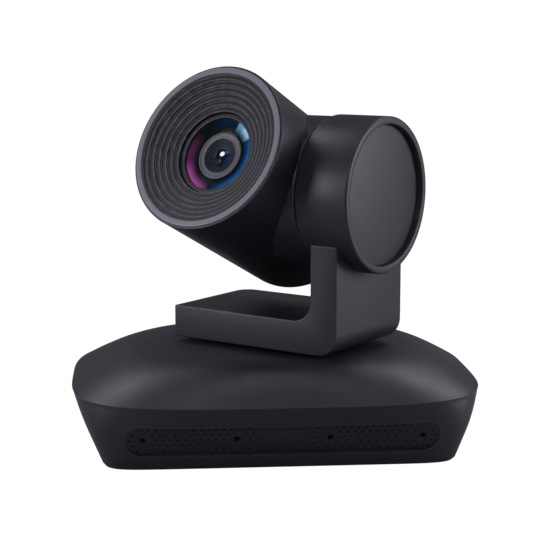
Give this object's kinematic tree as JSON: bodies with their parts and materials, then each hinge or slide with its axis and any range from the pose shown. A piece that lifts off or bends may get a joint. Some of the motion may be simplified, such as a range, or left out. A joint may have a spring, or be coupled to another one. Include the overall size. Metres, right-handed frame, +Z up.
{
  "type": "pan-tilt-zoom conference camera",
  "caption": "Pan-tilt-zoom conference camera: flared base with a microphone bar, L-shaped panning yoke and a tilting cylindrical lens head with zoom and focus groups.",
  "frame": {"origin": "middle of the base's outline on the surface it stands on", "axes": "+Z up, the base faces -Y with its microphone bar, +X to a viewer's right; the yoke is turned 39.6 degrees clockwise seen from above and the head is tilted up 25.7 degrees"},
  "size_m": [0.2088, 0.1698, 0.1956],
  "materials": {
    "charcoal_shell": "fine-grained matte, very dark blue grey",
    "dark_shell": "matte near black",
    "black_moulding": "matte black",
    "hood_grey": "satin mid grey",
    "baffle_black": "matte black, turned steps",
    "trim_grey": "satin grey",
    "lens_glass": "coated optical glass",
    "dark_glass": "infrared-dark gloss",
    "rubber": "matte",
    "brass": "turned",
    "bright_steel": "plain",
    "aluminium": "milled",
    "circuit_board": "green solder mask",
    "gear_nylon": "natural nylon"
  },
  "bodies": {
    "base": {"base_shell": "charcoal_shell", "base_plate": "dark_shell", "rubber_feet": "rubber", "base_screws": "bright_steel", "tripod_insert": "brass", "mic_grille": "dark_shell", "ir_window": "dark_glass", "mic_board": "circuit_board", "mic_capsules": "black_moulding", "ir_receiver": "black_moulding", "main_board": "circuit_board", "processor": "black_moulding", "heat_sink": "aluminium", "port_panel": "dark_shell", "dc_jack": "black_moulding", "usb_port": "bright_steel", "hdmi_port": "bright_steel", "lan_port": "bright_steel", "audio_jack": "black_moulding", "pan_frame": "aluminium", "pan_frame_screws": "bright_steel", "pan_bearing": "bright_steel", "pan_motor": "bright_steel"},
    "pan_drive": {"pan_pinion": "brass"},
    "yoke": {"yoke_bracket": "charcoal_shell", "yoke_cover": "dark_shell", "yoke_cover_screws": "bright_steel", "pan_shaft": "bright_steel", "pan_gear": "gear_nylon", "pan_clip": "bright_steel", "drum_housing": "charcoal_shell", "drum_cover": "charcoal_shell", "tilt_bearing": "bright_steel", "tilt_motor_plate": "aluminium", "tilt_motor": "bright_steel", "motor_plate_screws": "bright_steel"},
    "tilt_drive": {"tilt_pinion": "brass"},
    "head": {"head_shell": "charcoal_shell", "head_rear": "dark_shell", "head_screws": "bright_steel", "hood_ring": "hood_grey", "step_baffle": "baffle_black", "lens_retainer": "baffle_black", "front_lens": "lens_glass", "lens_barrel": "baffle_black", "inner_ring": "trim_grey", "inner_lens": "lens_glass", "lens_mount": "aluminium", "guide_rods": "bright_steel", "sensor_board": "circuit_board", "image_sensor": "black_moulding", "head_heat_sink": "aluminium", "tilt_shaft": "bright_steel", "tilt_gear": "gear_nylon", "tilt_clip": "bright_steel"},
    "zoom_group": {"zoom_cell": "black_moulding", "zoom_lens": "lens_glass"},
    "focus_group": {"focus_cell": "black_moulding", "focus_lens": "lens_glass"}
  },
  "joints": [
    {"name": "pan", "type": "hinge", "parent": "base", "child": "yoke", "pos_m": [0, -0.007, 0], "axis": [0, 0, 1], "range_deg": [-130.4, 209.6]},
    {"name": "pan_drive_spin", "type": "hinge", "parent": "base", "child": "pan_drive", "pos_m": [0, 0.0305, 0], "axis": [0, 0, 1], "range_deg": [-840, 525]},
    {"name": "tilt", "type": "hinge", "parent": "yoke", "child": "head", "pos_m": [0, -0.007, 0.1329], "axis": [-0.7705, 0.6374, 0], "range_deg": [-45.7, 64.3]},
    {"name": "tilt_drive_spin", "type": "hinge", "parent": "yoke", "child": "tilt_drive", "pos_m": [0, -0.007, 0.1533], "axis": [-0.7705, 0.6374, 0], "range_deg": [-155, 110]},
    {"name": "zoom", "type": "slide", "parent": "head", "child": "zoom_group", "axis": [-0.5744, -0.6943, 0.4337], "range_m": [-0.008, 0.012]},
    {"name": "focus", "type": "slide", "parent": "head", "child": "focus_group", "axis": [-0.5744, -0.6943, 0.4337], "range_m": [-0.005, 0.003]}
  ],
  "couplings": [
    {"joint": "pan_drive_spin", "follows": "pan", "ratio": -4},
    {"joint": "tilt_drive_spin", "follows": "tilt", "ratio": -2.4}
  ]
}
